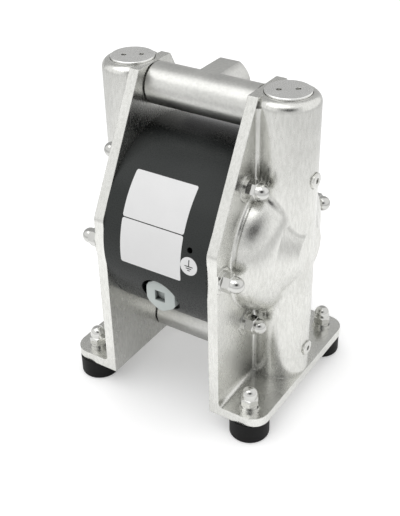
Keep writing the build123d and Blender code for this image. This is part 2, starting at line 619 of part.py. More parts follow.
def diaphragm():
    """Right-hand diaphragm: clamped rim, raised convolution and flat centre."""
    inner = CLAMP_INNER_R - CONVOLUTION_GAP
    foot_r = INNER_PLATE_R + CONVOLUTION_GAP
    crest_r = (inner + foot_r) / 2
    outline = Line((BLOCK_HALF + RIM_T, 0, AXIS_Z), (BLOCK_HALF + RIM_T, 0, AXIS_Z + foot_r))
    outline += ThreePointArc(
        (BLOCK_HALF + RIM_T, 0, AXIS_Z + foot_r),
        (BLOCK_HALF + RIM_T + CONVOLUTION_H, 0, AXIS_Z + crest_r),
        (BLOCK_HALF + RIM_T, 0, AXIS_Z + inner),
    )
    outline += Line((BLOCK_HALF + RIM_T, 0, AXIS_Z + inner), (BLOCK_HALF + RIM_T, 0, AXIS_Z + DIAPHRAGM_R))
    outline += Line((BLOCK_HALF + RIM_T, 0, AXIS_Z + DIAPHRAGM_R), (PLATE_FACE_X, 0, AXIS_Z + DIAPHRAGM_R))
    outline += Line((PLATE_FACE_X, 0, AXIS_Z + DIAPHRAGM_R), (PLATE_FACE_X, 0, AXIS_Z + inner))
    outline += ThreePointArc(
        (PLATE_FACE_X, 0, AXIS_Z + inner),
        (PLATE_FACE_X + CONVOLUTION_H, 0, AXIS_Z + crest_r),
        (PLATE_FACE_X, 0, AXIS_Z + foot_r),
    )
    outline += Line((PLATE_FACE_X, 0, AXIS_Z + foot_r), (PLATE_FACE_X, 0, AXIS_Z))
    outline += Line((PLATE_FACE_X, 0, AXIS_Z), (BLOCK_HALF + RIM_T, 0, AXIS_Z))
    body = revolve(make_face(outline), Axis((0, 0, AXIS_Z), (1, 0, 0)))
    return body - along_x(SHAFT_END_R + PUSH_FIT, BLOCK_HALF - BASE_T, BLOCK_HALF + BASE_T, z=AXIS_Z)


def inner_plate():
    """Disc behind the diaphragm, with a rounded rim."""
    disc = along_x(INNER_PLATE_R, SHAFT_SHOULDER_X, PLATE_FACE_X, z=AXIS_Z)
    disc = fillet(disc.edges().sort_by(Axis.X)[0], INNER_PLATE_T / 2)
    return disc - along_x(SHAFT_END_R + PUSH_FIT, SHAFT_SHOULDER_X, PLATE_FACE_X, z=AXIS_Z)


def outer_plate():
    """Coned disc in front of the diaphragm."""
    face = BLOCK_HALF + RIM_T
    corners = [
        (face, SHAFT_END_R + PUSH_FIT), (face, OUTER_PLATE_R), (face + OUTER_PLATE_RIM_T, OUTER_PLATE_R),
        (face + OUTER_PLATE_HUB_T, OUTER_PLATE_HUB_R), (face + OUTER_PLATE_HUB_T, SHAFT_END_R + PUSH_FIT),
    ]
    return turned_on_x(corners)


def diaphragm_shaft():
    """Shaft with a turned-down, chamfered thread at each end."""
    end_x = NUT_FACE_X + SHAFT_NUT_H + SHAFT_NUT_BITE
    shaft = along_x(SHAFT_R, -SHAFT_SHOULDER_X, SHAFT_SHOULDER_X, z=AXIS_Z)
    shaft += along_x(SHAFT_END_R, -end_x, end_x, z=AXIS_Z)
    tips = shaft.edges().filter_by(GeomType.CIRCLE).filter_by(lambda e: abs(e.center().X) > end_x - PUSH_FIT)
    return chamfer(tips, SHAFT_NUT_BITE / 2)


def shaft_nut():
    """Plain hexagon nut on the shaft's right-hand thread."""
    nut = Plane(origin=(NUT_FACE_X, 0, AXIS_Z), z_dir=(1, 0, 0)) * hexagon_prism(SHAFT_NUT_FLATS, SHAFT_NUT_H)
    return nut - along_x(SHAFT_END_R + PUSH_FIT, NUT_FACE_X, NUT_FACE_X + SHAFT_NUT_H, z=AXIS_Z)


def shaft_bush():
    """Flush bush with an inner groove for the shaft seal."""
    low = AIR_FLOOR_X - BUSH_L
    bush = along_x(BUSH_R, low, AIR_FLOOR_X, z=AXIS_Z)
    bush -= along_x(SHAFT_R + RUNNING_FIT, low, AIR_FLOOR_X, z=AXIS_Z)
    middle = low + BUSH_L / 2
    return bush - along_x(SHAFT_R + 2 * RING_R + RUNNING_FIT, middle - RING_R, middle + RING_R, z=AXIS_Z)


def shaft_seal():
    """O-ring in the bush's groove."""
    middle = AIR_FLOOR_X - BUSH_L / 2
    return o_ring(SHAFT_R + RING_R + RUNNING_FIT, Plane(origin=(middle, 0, AXIS_Z), z_dir=(1, 0, 0)))


# ---- Air valve and pilot valve ---------------------------------------------------------------

def air_valve_sleeve():
    """Ported sleeve round the spool: three belts of holes joined by outer grooves."""
    outer = VALVE_BORE_R - PUSH_FIT
    sleeve = along_x(outer, -SLEEVE_HALF, SLEEVE_HALF, z=VALVE_Z)
    sleeve -= along_x(SPOOL_R + RUNNING_FIT, -SLEEVE_HALF, SLEEVE_HALF, z=VALVE_Z)
    hole_r = SPOOL_TRAVEL / 2
    for x in (-SPOOL_HALF / 2, 0, SPOOL_HALF / 2):
        belt = along_x(outer + CUT_MARGIN, x - hole_r, x + hole_r, z=VALVE_Z)
        sleeve -= belt - along_x(outer - BELT_DEPTH, x - hole_r, x + hole_r, z=VALVE_Z)
        sleeve -= along_y(hole_r, -outer, outer, x, VALVE_Z)
    return sleeve


def air_valve_spool():
    """Spool with three lands and two necks."""
    land = SPOOL_HALF / 4
    spool = along_x(SPOOL_R, -SPOOL_HALF, SPOOL_HALF, z=VALVE_Z)
    for sign in SIDES.values():
        low, high = sorted((sign * land, sign * (SPOOL_HALF - land)))
        neck = along_x(SPOOL_R + CUT_MARGIN, low, high, z=VALVE_Z)
        spool -= neck - along_x(SPOOL_NECK_R, low, high, z=VALVE_Z)
    return spool


def end_cap():
    """Cap that closes the right-hand end of the air valve's bore."""
    low = SLEEVE_HALF + PUSH_FIT
    cap = along_x(VALVE_BORE_R - PUSH_FIT, low, low + END_CAP_T, z=VALVE_Z)
    middle = low + END_CAP_T / 2
    groove = along_x(VALVE_BORE_R, middle - RING_R, middle + RING_R, z=VALVE_Z)
    floor_r = VALVE_BORE_R - 2 * (RING_R + PUSH_FIT)
    return cap - (groove - along_x(floor_r, middle - RING_R, middle + RING_R, z=VALVE_Z))


def end_cap_seal():
    """O-ring in an end cap's groove."""
    middle = SLEEVE_HALF + PUSH_FIT + END_CAP_T / 2
    return o_ring(VALVE_BORE_R - RING_R - PUSH_FIT, Plane(origin=(middle, 0, VALVE_Z), z_dir=(1, 0, 0)))


def snap_ring():
    """Internal retaining ring, open at its bottom, in the groove outside an end cap."""
    low = SNAP_RING_LOW_X + PUSH_FIT
    high = SNAP_RING_LOW_X + SNAP_RING_T - PUSH_FIT
    ring = along_x(VALVE_BORE_R + SNAP_RING_DEPTH - RUNNING_FIT, low, high, z=VALVE_Z)
    ring -= along_x(VALVE_BORE_R - 2 * SNAP_RING_DEPTH, low, high, z=VALVE_Z)
    return ring - Pos(low, 0, VALVE_Z - VALVE_BORE_R) * Box(BASE_T, VALVE_BORE_R / 2, VALVE_BORE_R)


def pilot_sleeve():
    """Plain sleeve that guides the pilot pin."""
    sleeve = along_x(PILOT_BORE_R - PUSH_FIT, -AIR_FLOOR_X, AIR_FLOOR_X, z=AXIS_Z + PILOT_RISE)
    return sleeve - along_x(PILOT_R + RUNNING_FIT, -AIR_FLOOR_X, AIR_FLOOR_X, z=AXIS_Z + PILOT_RISE)


def pilot_pin():
    """Pin that the diaphragm plates push from side to side, waisted in the middle."""
    height = AXIS_Z + PILOT_RISE
    pin = along_x(PILOT_R, -PILOT_HALF, PILOT_HALF, z=height)
    waist = along_x(PILOT_R + CUT_MARGIN, -PILOT_TRAVEL, PILOT_TRAVEL, z=height)
    return pin - (waist - along_x(PILOT_NECK_R, -PILOT_TRAVEL, PILOT_TRAVEL, z=height))


# ---- Air inlet and exhaust -------------------------------------------------------------------

def inlet_cap():
    """Moulded transport cap screwed into the air inlet, with a square key socket."""
    face = -CAP_FACE_Y
    crown = face + CAP_CROWN
    flats = Plane(origin=(0, face, VALVE_Z), z_dir=(0, 1, 0)) * hexagon_prism(CAP_FLATS, BLOCK_R)
    rim = VALVE_Z + CAP_R
    outline = Line((0, face, VALVE_Z), (0, -RECESS_FLOOR_Y, VALVE_Z))
    outline += Line((0, -RECESS_FLOOR_Y, VALVE_Z), (0, -RECESS_FLOOR_Y, rim))
    outline += Line((0, -RECESS_FLOOR_Y, rim), (0, crown, rim))
    on_crown = (0, face + CAP_CROWN / 4, VALVE_Z + CAP_R * CAP_CROWN_REACH)
    outline += ThreePointArc((0, crown, rim), on_crown, (0, face, VALVE_Z))
    head = revolve(make_face(outline), Axis((0, 0, VALVE_Z), (0, 1, 0)))
    head &= flats
    socket_y = face + CAP_SOCKET_DEPTH / 2
    head -= Pos(0, socket_y, VALVE_Z) * Box(CAP_SOCKET, CAP_SOCKET_DEPTH, CAP_SOCKET)
    return head + along_y(AIR_THREAD_R - RUNNING_FIT, -RECESS_FLOOR_Y, -RECESS_FLOOR_Y / 2, z=VALVE_Z)


def exhaust_silencer():
    """Screwed silencer with a low sintered dome, in the recess at the back."""
    base_y = RECESS_FLOOR_Y + (SILENCER_FACE_Y - RECESS_FLOOR_Y) / 2
    hexagon = Plane(origin=(0, RECESS_FLOOR_Y, VALVE_Z), z_dir=(0, 1, 0))
    body = hexagon * hexagon_prism(SILENCER_FLATS, base_y - RECESS_FLOOR_Y)
    body += along_y(SILENCER_CAP_R, base_y, SILENCER_FACE_Y, z=VALVE_Z)
    body = fillet(body.edges().sort_by(Axis.Y)[-1], (SILENCER_FACE_Y - base_y) / 2)
    return body + along_y(AIR_THREAD_R - RUNNING_FIT, RECESS_FLOOR_Y / 2, RECESS_FLOOR_Y, z=VALVE_Z)


def valve_nodes():
    """Seats, cages, locking screws, balls and plugs of both columns."""
    heights = SEAT_HEIGHTS.values()
    nodes = {
        "valve_seats": mirrored([valve_seat(z) for z in heights]),
        "ball_cages": mirrored([ball_cage(z) for z in heights]),
        "seat_locking_screws": mirrored([seat_screw(z) for z in heights]),
    }
    for side, sign in SIDES.items():
        for name, z in SEAT_HEIGHTS.items():
            nodes[f"{name}_ball_{side}"] = [valve_ball(side, z)]
        place = Pos(sign * COLUMN_X, 0, 0)
        nodes[f"bore_plug_{side}"] = [place * bore_plug()]
    ring = o_ring(PLUG_R - RING_R, Plane(origin=(COLUMN_X, 0, PLUG_RING_Z)))
    nodes["bore_plug_seals"] = mirrored([ring])
    return nodes


def air_nodes():
    """Everything inside the centre block."""
    return {
        "diaphragm_shaft": [diaphragm_shaft()],
        "inner_diaphragm_plates": mirrored([inner_plate()]),
        "outer_diaphragm_plates": mirrored([outer_plate()]),
        "shaft_nuts": mirrored([shaft_nut()]),
        "shaft_bushes": mirrored([shaft_bush()]),
        "shaft_seals": mirrored([shaft_seal()]),
        "air_valve_sleeve": [air_valve_sleeve()],
        "air_valve_spool": [air_valve_spool()],
        "air_valve_end_caps": mirrored([end_cap()]),
        "end_cap_seals": mirrored([end_cap_seal()]),
        "end_cap_retaining_rings": mirrored([snap_ring()]),
        "pilot_sleeve": [pilot_sleeve()],
        "pilot_pin": [pilot_pin()],
        "inlet_transport_cap": [inlet_cap()],
        "exhaust_silencer": [exhaust_silencer()],
    }


def all_nodes():
    """Every node's name with its list of solids."""
    right = housing()
    right_diaphragm = diaphragm()
    washers, nuts, studs = clamp_hardware()
    nodes = {
        "housing_right": [right],
        "housing_left": [mirror(right, about=Plane.YZ)],
        "centre_block": [centre_block()],
        "diaphragm_right": [right_diaphragm],
        "diaphragm_left": [mirror(right_diaphragm, about=Plane.YZ)],
        "discharge_manifold": [manifold(DISCHARGE_Z)],
        "suction_manifold": [manifold(SUCTION_Z)],
        "discharge_manifold_seals": manifold_rings(DISCHARGE_Z),
        "suction_manifold_seals": manifold_rings(SUCTION_Z),
        "clamp_washers": washers,
        "clamp_acorn_nuts": nuts,
        "clamp_studs": studs,
    }
    nodes.update(foot_hardware())
    nodes.update(valve_nodes())
    nodes.update(air_nodes())
    return nodes


os.makedirs("parts", exist_ok=True)
for name, solids in all_nodes().items():
    flat = [solid for shape in solids for solid in shape.solids()]
    export_step(flat[0] if len(flat) == 1 else Compound(children=flat), f"parts/{name}.step")
    print(name, len(flat))
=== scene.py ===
"""Visual model of the air operated diaphragm pump: finishes, small pieces, studio and camera.

Lengths are metres and share the CAD frame: X runs along the diaphragm shaft, -Y is the air inlet
side, +Y the side of both pipe ports, +Z is up, and the feet stand on Z = 0.
"""

import logging
import math
from dataclasses import dataclass, field
from enum import Enum

import bmesh
import bpy
import numpy as np
from mathutils import Matrix, Vector


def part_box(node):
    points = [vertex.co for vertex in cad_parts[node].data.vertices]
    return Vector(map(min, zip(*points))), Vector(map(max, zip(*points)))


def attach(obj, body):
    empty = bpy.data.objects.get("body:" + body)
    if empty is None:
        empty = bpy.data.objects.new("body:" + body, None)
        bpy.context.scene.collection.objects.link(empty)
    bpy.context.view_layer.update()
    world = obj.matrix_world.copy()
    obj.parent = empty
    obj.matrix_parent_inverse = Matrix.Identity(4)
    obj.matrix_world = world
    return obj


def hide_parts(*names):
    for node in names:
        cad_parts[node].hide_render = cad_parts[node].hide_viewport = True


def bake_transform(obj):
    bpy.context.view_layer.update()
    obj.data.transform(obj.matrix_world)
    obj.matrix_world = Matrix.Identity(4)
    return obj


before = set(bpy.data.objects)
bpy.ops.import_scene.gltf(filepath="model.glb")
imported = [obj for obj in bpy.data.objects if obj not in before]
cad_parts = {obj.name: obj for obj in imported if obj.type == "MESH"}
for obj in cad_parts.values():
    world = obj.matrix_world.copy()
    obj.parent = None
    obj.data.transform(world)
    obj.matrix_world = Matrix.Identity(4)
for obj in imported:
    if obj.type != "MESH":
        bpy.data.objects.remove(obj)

LOG = logging.getLogger("diaphragm_pump")

Colour = tuple[float, float, float]
Place = tuple[float, float, float]
Span = tuple[float, float]
Socket = bpy.types.NodeSocket

MM = 0.001
MICRON = 0.000001
WHITE: Colour = (1.0, 1.0, 1.0)
NO_STRETCH: Place = (1.0, 1.0, 1.0)
# Noise keeps mostly to this range, so colours and roughness change between its two ends.
PATTERN_SPAN: Span = (0.3, 0.7)
HOLLOW_SAMPLES = 8
EDGE_SAMPLES = 4
# Sockets of a Mix node that mixes colours.
MIX_SHARE, MIX_FIRST, MIX_SECOND, MIX_RESULT = 0, 6, 7, 2
MERGE_DISTANCE = 1e-7
SENSOR_HEIGHT_MM = 36.0
FRAME_HEIGHT_PIXELS = 516


# ---- Node graphs -----------------------------------------------------------------------------


@dataclass(frozen=True)
class PaintedHollowShade:
    """Painted shade: a colour darkened in recesses and inner corners, where shade falls.

    Attributes:
        reach: how far a corner makes itself felt.
        share: part of the colour that the painted shade takes away in the deepest corner.
        own: True where only the piece's own faces count.
    """

    reach: float
    share: float
    own: bool = True


class Graph:
    """A node tree with short calls for adding and joining nodes."""

    def __init__(self, tree: bpy.types.NodeTree) -> None:
        """Empties the tree.

        Args:
            tree: the material's or the world's node tree.
        """
        self.tree = tree
        tree.nodes.clear()

    def add(self, kind: str, **inputs: object) -> bpy.types.Node:
        """Adds a node and sets its sockets by name, with underscores for spaces.

        Args:
            kind: the node type's identifier.
            inputs: plain socket values, or sockets of other nodes to link from.

        Returns:
            The new node.
        """
        node = self.tree.nodes.new(kind)
        for name, value in inputs.items():
            self.feed(node.inputs[name.replace("_", " ")], value)
        return node

    def feed(self, socket: Socket, value: object) -> None:
        """Sets a socket to a plain value, or links it from another node's output.

        Args:
            socket: the input.
            value: number, colour or output socket.
        """
        if isinstance(value, bpy.types.NodeSocket):
            self.tree.links.new(value, socket)
        elif isinstance(value, tuple) and len(value) == 3 and socket.type == "RGBA":
            socket.default_value = (*value, 1.0)
        else:
            socket.default_value = value

    def object_point(self) -> Socket:
        """Returns the point on the surface in the piece's own frame."""
        return self.add("ShaderNodeTexCoord").outputs["Object"]

    def noise(self, scale: float, detail: float = 3.0, stretch: Place = NO_STRETCH) -> Socket:
        """Adds a noise pattern on the piece's own frame.

        Args:
            scale: repeats for each metre.
            detail: octaves of finer noise.
            stretch: factor on the scale along X, Y and Z.

        Returns:
            The pattern's value, about 0 to 1.
        """
        point = self.add("ShaderNodeMapping", Vector=self.object_point(), Scale=stretch).outputs[0]
        return self.add("ShaderNodeTexNoise", Vector=point, Scale=scale, Detail=detail).outputs[0]

    def arithmetic(self, operation: str, first: object, second: object) -> Socket:
        """Joins two values into one.

        Args:
            operation: what to do with them, in the Math node's words.
            first: number or output socket.
            second: number or output socket.

        Returns:
            The result.
        """
        node = self.add("ShaderNodeMath")
        node.operation = operation
        self.feed(node.inputs[0], first)
        self.feed(node.inputs[1], second)
        return node.outputs[0]

    def product(self, first: object, second: object) -> Socket:
        """Returns the product of two numbers or output sockets."""
        return self.arithmetic("MULTIPLY", first, second)

    def total(self, first: object, second: object) -> Socket:
        """Returns the sum of two numbers or output sockets."""
        return self.arithmetic("ADD", first, second)

    def mixture(self, first: Socket, second: Socket, share: float) -> Socket:
        """Mixes two patterns.

        Args:
            first: one pattern.
            second: the other.
            share: part of the second in the mixture.

        Returns:
            The mixed pattern.
        """
        return self.total(self.product(first, 1.0 - share), self.product(second, share))

    def remap(self, value: Socket, source: Span, target: Span, smooth: bool = False) -> Socket:
        """Maps a value from one range to another and holds it at both ends.

        Args:
            value: output socket.
            source: the range that it comes from.
            target: the results at that range's two ends.
            smooth: True for a smooth step between the ends, False for a straight line.

        Returns:
            The new value.
        """
        node = self.add(
            "ShaderNodeMapRange", Value=value, From_Min=source[0], From_Max=source[1],
            To_Min=target[0], To_Max=target[1],
        )
        node.interpolation_type = "SMOOTHSTEP" if smooth else "LINEAR"
        return node.outputs[0]

    def fade(self, centre: Place, reach: Span, values: Span, weight: Place = NO_STRETCH) -> Socket:
        """Changes a value smoothly with the distance from a point in the piece's own frame.

        Args:
            centre: the point.
            reach: distance up to which the first value holds, and from which the last one does.
            values: the first and the last value.
            weight: how much each axis counts in the distance.

        Returns:
            The value.
        """
        weighed = self.add("ShaderNodeVectorMath")
        weighed.operation = "MULTIPLY"
        self.feed(weighed.inputs[0], self.object_point())
        weighed.inputs[1].default_value = weight
        distance = self.add("ShaderNodeVectorMath")
        distance.operation = "DISTANCE"
        self.feed(distance.inputs[0], weighed.outputs[0])
        distance.inputs[1].default_value = [side * share for side, share in zip(centre, weight)]
        return self.remap(distance.outputs["Value"], reach, values, smooth=True)

    def blend(self, share: Socket, first: Colour, second: Colour) -> Socket:
        """Mixes two colours by a pattern.

        Args:
            share: the pattern.
            first: colour at the lower end of PATTERN_SPAN and below it.
            second: colour at its upper end and above it.

        Returns:
            The colour.
        """
        ramp = self.add("ShaderNodeValToRGB", Fac=share)
        for stop, place, colour in zip(ramp.color_ramp.elements, PATTERN_SPAN, (first, second)):
            stop.position = place
            stop.color = (*colour, 1.0)
        return ramp.outputs[0]

    def sky(self, reach: float, own: bool = False) -> Socket:
        """Tells how open a place on the surface is.

        Args:
            reach: distance within which something above the place counts.
            own: True where only the piece's own faces count.

        Returns:
            1 in the open, down to 0 in the deepest hollow.
        """
        node = self.add("ShaderNodeAmbientOcclusion", Distance=reach)
        node.samples = HOLLOW_SAMPLES
        node.only_local = own
        return node.outputs["AO"]

    def paint_hollow_shade(self, colour: Socket, painted_hollow_shade: PaintedHollowShade) -> Socket:
        """Paints shade into a colour: darkens it in recesses and inner corners.

        Args:
            colour: the colour in the open.
            painted_hollow_shade: how far the painted shade reaches and how much it takes away.

        Returns:
            The colour with its painted shade.
        """
        open_share = self.sky(painted_hollow_shade.reach, painted_hollow_shade.own)
        mix = self.add("ShaderNodeMix")
        mix.data_type = "RGBA"
        mix.blend_type = "MULTIPLY"
        mix.inputs[MIX_SHARE].default_value = 1.0
        self.feed(mix.inputs[MIX_FIRST], colour)
        shade = self.blend(open_share, (1.0 - painted_hollow_shade.share,) * 3, WHITE)
        self.feed(mix.inputs[MIX_SECOND], shade)
        return mix.outputs[MIX_RESULT]

    def relief(self, height: Socket, depth: float, edge: float) -> Socket:
        """Turns a pattern into fine relief on a surface whose edges are slightly broken.

        Args:
            height: the pattern.
            depth: height of the relief.
            edge: radius of the broken edges, 0 for none.

        Returns:
            The surface direction for a shader.
        """
        bump = self.add("ShaderNodeBump", Height=height, Strength=1.0, Distance=depth)
        if edge > 0:
            bevel = self.add("ShaderNodeBevel", Radius=edge)
            bevel.samples = EDGE_SAMPLES
            self.feed(bump.inputs["Normal"], bevel.outputs[0])
        return bump.outputs[0]

    def seen(self, *kinds: str) -> Socket:
        """Tells the rays that show the white background from those that only carry light.

        Args:
            kinds: the kinds of ray that show it, besides those through clear things.

        Returns:
            1 for a ray that shows the background, else 0.
        """
        path = self.add("ShaderNodeLightPath")
        shown = path.outputs["Is Transmission Ray"]
        for kind in kinds:
            shown = self.arithmetic("MAXIMUM", shown, path.outputs[kind])
        return shown


def new_material(label: str) -> tuple[bpy.types.Material, Graph]:
    """Starts a material.

    Args:
        label: its name.

    Returns:
        The material and its empty graph.
    """
    material = bpy.data.materials.new(label)
    material.use_nodes = True
    return material, Graph(material.node_tree)


# ---- Finishes --------------------------------------------------------------------------------


@dataclass(frozen=True)
class Finish:
    """A surface with two close colours, two close roughnesses and fine relief.

    Attributes:
        label: the material's name.
        dark: colour in the pattern's low parts.
        light: colour in its high parts.
        rough: the least and the greatest roughness.
        cloud: repeats of the broad pattern for each metre.
        grain: repeats of the fine pattern for each metre.
        depth: height of the fine relief.
        stretch: factor on the fine pattern along X, Y and Z.
        edge: radius of broken edges, 0 for none.
        settings: further sockets of the shader with their values.
        painted_hollow_shade: shade painted into its colour in recesses and inner corners, if it has
            any.
    """

    label: str
    dark: Colour
    light: Colour
    rough: Span
    cloud: float
    grain: float
    depth: float
    stretch: Place = NO_STRETCH
    edge: float = 0.0
    settings: tuple[tuple[str, float], ...] = ()
    painted_hollow_shade: PaintedHollowShade | None = None

    def build(self) -> bpy.types.Material:
        """Joins colour, roughness and relief in one shader.

        Returns:
            The finish as a material.
        """
        material, graph = new_material(self.label)
        shader = graph.add("ShaderNodeBsdfPrincipled")
        colour = self.colour(graph)
        # Painted shade: the colour is darkened in recesses and inner corners.
        if self.painted_hollow_shade is not None:
            colour = graph.paint_hollow_shade(colour, self.painted_hollow_shade)
        graph.feed(shader.inputs["Base Color"], colour)
        self.texture(graph, shader)
        for name, value in self.settings:
            graph.feed(shader.inputs[name], value)
        graph.add("ShaderNodeOutputMaterial", Surface=shader.outputs[0])
        return material

    def colour(self, graph: Graph) -> Socket:
        """Gives the colour a broad, faint pattern.

        Args:
            graph: the material's graph.

        Returns:
            The colour.
        """
        return graph.blend(graph.noise(self.cloud), self.dark, self.light)

    def texture(self, graph: Graph, shader: bpy.types.Node) -> None:
        """Feeds roughness and relief with the fine pattern, whose high parts are the glossier.

        Args:
            graph: the material's graph.
            shader: its shader node.
        """
        fine = graph.noise(self.grain, detail=2.0, stretch=self.stretch)
        graph.feed(shader.inputs["Roughness"], graph.remap(fine, PATTERN_SPAN, self.rough[::-1]))
        graph.feed(shader.inputs["Normal"], graph.relief(fine, self.depth, self.edge))


@dataclass(frozen=True)
class CastMetal(Finish):
    """Blasted and brushed castings: fine grain over broad, cloudy changes of gloss.

    Attributes:
        tint_scale: factor on the grain's repeats where it tints the colour.
        tint_share: share of the grain in the colour, beside the clouds.
        gloss_scale: factor on the clouds' repeats where they change the gloss.
        gloss_share: share of the grain in the gloss, beside the clouds.
    """

    tint_scale: float = 0.6
    tint_share: float = 0.45
    gloss_scale: float = 2.3
    gloss_share: float = 0.4

    def colour(self, graph: Graph) -> Socket:
        """Gives the colour the clouds and the grain together.

        Args:
            graph: the material's graph.

        Returns:
            The colour.
        """
        fine = graph.noise(self.grain * self.tint_scale, stretch=self.stretch)
        both = graph.mixture(graph.noise(self.cloud), fine, self.tint_share)
        return graph.blend(both, self.dark, self.light)

    def texture(self, graph: Graph, shader: bpy.types.Node) -> None:
        """Feeds roughness with the grain and the clouds together, and relief with the grain.

        Args:
            graph: the material's graph.
            shader: its shader node.
        """
        fine = graph.noise(self.grain, detail=2.0, stretch=self.stretch)
        broad = graph.noise(self.cloud * self.gloss_scale)
        both = graph.mixture(broad, fine, self.gloss_share)
        graph.feed(shader.inputs["Roughness"], graph.remap(both, PATTERN_SPAN, self.rough))
        graph.feed(shader.inputs["Normal"], graph.relief(fine, self.depth, self.edge))


METAL = (("Metallic", 1.0),)


class Surface(Enum):
    """The finishes of the pump."""

    # Where a finish below darkens its colour in recesses and inner corners, that darkening is
    # painted shade.
    CAST_HOUSING = CastMetal(
        "cast stainless, brushed upright", dark=(0.60, 0.60, 0.57), light=(0.86, 0.86, 0.83),
        rough=(0.21, 0.33), cloud=14.0, grain=1100.0, stretch=(1.0, 1.0, 0.25), depth=24 * MICRON,
        edge=0.7 * MM, settings=METAL, painted_hollow_shade=PaintedHollowShade(22 * MM, 0.42),
    )
    CAST_MANIFOLD = CastMetal(
        "cast stainless, blasted", dark=(0.57, 0.57, 0.55), light=(0.77, 0.77, 0.74),
        rough=(0.30, 0.40), cloud=26.0, grain=900.0, stretch=(0.8, 1.0, 1.0), depth=18 * MICRON,
        edge=0.6 * MM, settings=METAL, painted_hollow_shade=PaintedHollowShade(8 * MM, 0.45),
    )
    BRIGHT_STAINLESS = Finish(
        "bright stainless", dark=(0.58, 0.58, 0.56), light=(0.68, 0.68, 0.66), rough=(0.05, 0.09),
        cloud=60.0, grain=900.0, depth=3 * MICRON, edge=0.3 * MM, settings=METAL,
        painted_hollow_shade=PaintedHollowShade(3 * MM, 0.9),
    )
    TURNED_STAINLESS = Finish(
        "turned stainless", dark=(0.84, 0.84, 0.82), light=(0.94, 0.94, 0.92), rough=(0.20, 0.30),
        cloud=50.0, grain=1200.0, depth=6 * MICRON, edge=0.3 * MM, settings=METAL,
    )
    # Painted shade: the block's colour also darkens near other pieces, so the shade under the
    # discharge manifold and beside the plates is painted in.
    BLACK_BLOCK = Finish(
        "black conductive plastic", dark=(0.036, 0.039, 0.038), light=(0.042, 0.045, 0.044),
        rough=(0.24, 0.32), cloud=24.0, grain=900.0, depth=6 * MICRON, edge=0.6 * MM,
        settings=(("Specular IOR Level", 0.13),), painted_hollow_shade=PaintedHollowShade(45 * MM, 0.95, own=False),
    )
    # Painted shade: the cap's colour goes fully dark in the deepest part of its socket.
    WHITE_CAP = Finish(
        "milky white plastic", dark=(0.53, 0.575, 0.56), light=(0.58, 0.625, 0.605),
        rough=(0.28, 0.36), cloud=70.0, grain=700.0, depth=6 * MICRON, edge=0.5 * MM,
        painted_hollow_shade=PaintedHollowShade(9 * MM, 1.0),
    )
    PTFE = Finish(
        "white PTFE", dark=(0.80, 0.80, 0.78), light=(0.86, 0.86, 0.84), rough=(0.34, 0.42),
        cloud=60.0, grain=900.0, depth=5 * MICRON,
        settings=(("Subsurface Weight", 0.1), ("Subsurface Scale", 2 * MM)),
    )
    BLACK_RUBBER = Finish(
        "black rubber", dark=(0.004, 0.004, 0.004), light=(0.007, 0.007, 0.007),
        rough=(0.48, 0.60), cloud=40.0, grain=1500.0, depth=10 * MICRON,
        settings=(("Specular IOR Level", 0.18),),
    )
    SEAL_RUBBER = Finish(
        "black seal rubber", dark=(0.012, 0.012, 0.012), light=(0.018, 0.018, 0.018),
        rough=(0.50, 0.60), cloud=60.0, grain=1500.0, depth=6 * MICRON,
    )
    BEARING_BRONZE = Finish(
        "bearing bronze", dark=(0.50, 0.34, 0.17), light=(0.58, 0.41, 0.22), rough=(0.28, 0.38),
        cloud=60.0, grain=1200.0, depth=6 * MICRON, settings=METAL,
    )
    SINTERED_BRONZE = Finish(
        "sintered bronze", dark=(0.30, 0.21, 0.11), light=(0.48, 0.35, 0.19), rough=(0.45, 0.62),
        cloud=900.0, grain=1600.0, depth=80 * MICRON, settings=METAL,
    )
    LABEL_VINYL = Finish(
        "white label vinyl", dark=(0.81, 0.81, 0.81), light=(0.84, 0.84, 0.84),
        rough=(0.30, 0.34), cloud=40.0, grain=900.0, depth=1 * MICRON,
    )
    SIGN_INK = Finish(
        "black sign ink", dark=(0.015, 0.015, 0.015), light=(0.022, 0.022, 0.022),
        rough=(0.36, 0.44), cloud=80.0, grain=900.0, depth=2 * MICRON,
    )


NODE_FINISHES: dict[Surface, tuple[str, ...]] = {
    Surface.CAST_HOUSING: ("housing_left", "housing_right", "seat_locking_screws"),
    Surface.CAST_MANIFOLD: ("discharge_manifold", "suction_manifold"),
    Surface.BRIGHT_STAINLESS: (
        "clamp_washers", "clamp_acorn_nuts", "foot_washers", "foot_spring_washers",
        "foot_acorn_nuts",
    ),
    Surface.TURNED_STAINLESS: (
        "bore_plug_left", "bore_plug_right", "clamp_studs", "foot_studs", "valve_seats",
        "ball_cages", "diaphragm_shaft", "inner_diaphragm_plates", "outer_diaphragm_plates",
        "shaft_nuts", "air_valve_spool", "pilot_pin", "end_cap_retaining_rings",
    ),
    Surface.BLACK_BLOCK: ("centre_block", "air_valve_end_caps"),
    Surface.WHITE_CAP: ("inlet_transport_cap",),
    Surface.PTFE: (
        "suction_ball_left", "suction_ball_right", "discharge_ball_left", "discharge_ball_right",
        "diaphragm_left", "diaphragm_right",
    ),
    Surface.BLACK_RUBBER: ("rubber_feet",),
    Surface.SEAL_RUBBER: (
        "bore_plug_seals", "discharge_manifold_seals", "suction_manifold_seals", "shaft_seals",
        "end_cap_seals",
    ),
    Surface.BEARING_BRONZE: ("shaft_bushes", "air_valve_sleeve", "pilot_sleeve"),
    Surface.SINTERED_BRONZE: ("exhaust_silencer",),
}


